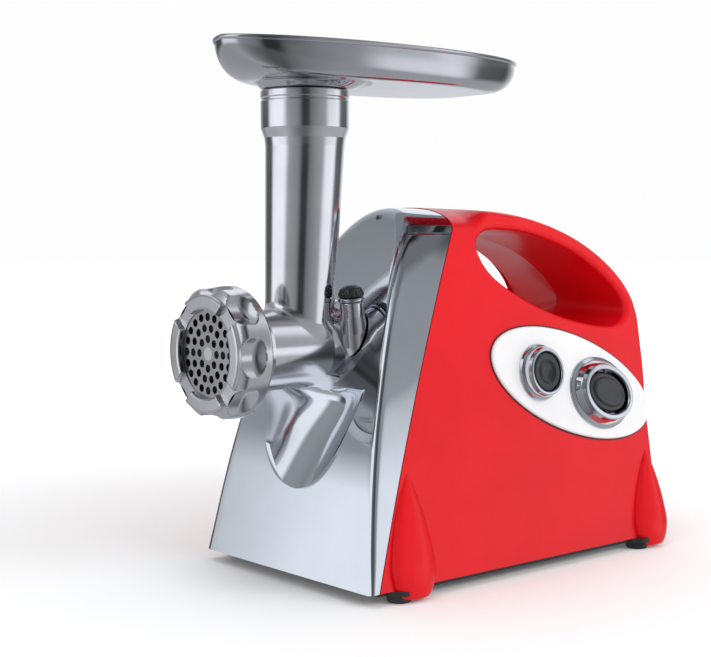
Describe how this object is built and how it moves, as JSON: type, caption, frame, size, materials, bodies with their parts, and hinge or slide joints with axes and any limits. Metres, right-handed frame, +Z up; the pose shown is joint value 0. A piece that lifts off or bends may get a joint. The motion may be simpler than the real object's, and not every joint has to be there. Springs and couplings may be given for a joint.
{
  "type": "electric meat grinder",
  "caption": "Countertop electric meat grinder: tray and feed tube on a cast screw-auger head with ring nut, in a leaning two-part housing with hand slot and geared motor.",
  "frame": {"origin": "on the ground under the middle of the grinder's overall box", "axes": "+Z up, -Y towards the outlet of the head, +X towards the side with the controls"},
  "size_m": [0.1838, 0.338, 0.336],
  "materials": {
    "red_plastic": "gloss",
    "chrome": "polished",
    "cast_aluminium": "polished",
    "tray_steel": "polished",
    "steel": "satin",
    "blade_steel": "ground",
    "panel_silver": "gloss",
    "black_plastic": "gloss",
    "matte_black": "moulded",
    "rubber": "matte",
    "nylon": "moulded",
    "copper": "enamelled",
    "laminations": "varnished",
    "brush_brass": "satin",
    "carbon": "matte",
    "board": "satin"
  },
  "bodies": {
    "housing": {"front_cover": "chrome", "outlet_socket": "chrome", "left_shell": "red_plastic", "right_shell": "red_plastic", "base_plate": "matte_black", "rubber_feet": "rubber", "control_panel": "panel_silver", "reverse_bezel": "chrome", "reverse_switch": "matte_black", "power_bezel": "chrome", "rocker_pin": "steel", "power_switch": "matte_black", "cord_inlet": "matte_black", "gearbox_housing": "matte_black", "gearbox_cover": "matte_black", "output_bearing": "steel", "motor_front_bracket": "cast_aluminium", "motor_rear_bracket": "cast_aluminium", "motor_bearings": "steel", "stator_core": "laminations", "field_coils": "copper", "brush_holders": "brush_brass", "carbon_brushes": "carbon", "circuit_board": "board", "board_parts": "matte_black", "housing_screws": "steel", "base_screws": "steel", "gearbox_screws": "steel"},
    "head": {"head_casting": "cast_aluminium", "auger_bush": "nylon"},
    "tray": {"tray": "tray_steel"},
    "auger": {"auger": "cast_aluminium", "knife": "blade_steel"},
    "plate": {"cutting_plate": "blade_steel"},
    "ring": {"ring_nut": "cast_aluminium"},
    "lock": {"lock_knob": "black_plastic", "lock_collar": "chrome", "lock_screw": "steel"},
    "reverse": {"reverse_button": "black_plastic"},
    "rocker": {"power_rocker": "black_plastic"},
    "output": {"output_shaft": "steel", "output_gear": "nylon"},
    "second": {"second_gear": "nylon"},
    "first": {"first_gear": "nylon"},
    "armature": {"motor_shaft": "steel", "motor_pinion": "steel", "cooling_fan": "matte_black", "armature_core": "laminations", "armature_windings": "copper", "commutator": "copper"}
  },
  "joints": [
    {"name": "head_pull", "type": "slide", "parent": "housing", "child": "head", "axis": [0, -1, 0], "range_m": [0, 0.03]},
    {"name": "tray_lift", "type": "slide", "parent": "head", "child": "tray", "axis": [0, 0, 1], "range_m": [0, 0.05]},
    {"name": "plate_slide", "type": "slide", "parent": "head", "child": "plate", "axis": [0, -1, 0], "range_m": [0, 0.009]},
    {"name": "ring_turn", "type": "hinge", "parent": "plate", "child": "ring", "pos_m": [0, -0.157, 0.147], "axis": [0, -1, 0], "range_deg": [0, 1080]},
    {"name": "lock_turn", "type": "hinge", "parent": "head", "child": "lock", "pos_m": [0.027, -0.076, 0.176], "axis": [0, -0.1045, 0.9945], "range_deg": [0, 720]},
    {"name": "motor_spin", "type": "hinge", "parent": "housing", "child": "armature", "pos_m": [0, 0, 0.075], "axis": [0, 1, 0], "continuous": true},
    {"name": "first_spin", "type": "hinge", "parent": "housing", "child": "first", "pos_m": [-0.02, 0, 0.09459], "axis": [0, 1, 0], "continuous": true},
    {"name": "second_spin", "type": "hinge", "parent": "housing", "child": "second", "pos_m": [0.0088, 0, 0.1067], "axis": [0, 1, 0], "continuous": true},
    {"name": "output_spin", "type": "hinge", "parent": "housing", "child": "output", "pos_m": [0, 0, 0.147], "axis": [0, 1, 0], "continuous": true},
    {"name": "auger_spin", "type": "hinge", "parent": "head", "child": "auger", "pos_m": [0, 0, 0.147], "axis": [0, 1, 0], "continuous": true},
    {"name": "reverse_press", "type": "slide", "parent": "housing", "child": "reverse", "axis": [-0.9869, 0, -0.1616], "range_m": [0, 0.003], "stiffness_N_per_m": 300, "springref_m": -0.004},
    {"name": "rocker_tilt", "type": "hinge", "parent": "housing", "child": "rocker", "pos_m": [0.0724, 0.10964, 0.10978], "axis": [0.1528, -0.3256, -0.9331], "range_deg": [-8, 8]}
  ],
  "couplings": [
    {"joint": "plate_slide", "follows": "ring_turn", "m_per_rad": 0.000477},
    {"joint": "first_spin", "follows": "motor_spin", "ratio": -0.27273},
    {"joint": "second_spin", "follows": "motor_spin", "ratio": 0.086124},
    {"joint": "output_spin", "follows": "motor_spin", "ratio": -0.024035},
    {"joint": "auger_spin", "follows": "motor_spin", "ratio": -0.024035}
  ]
}
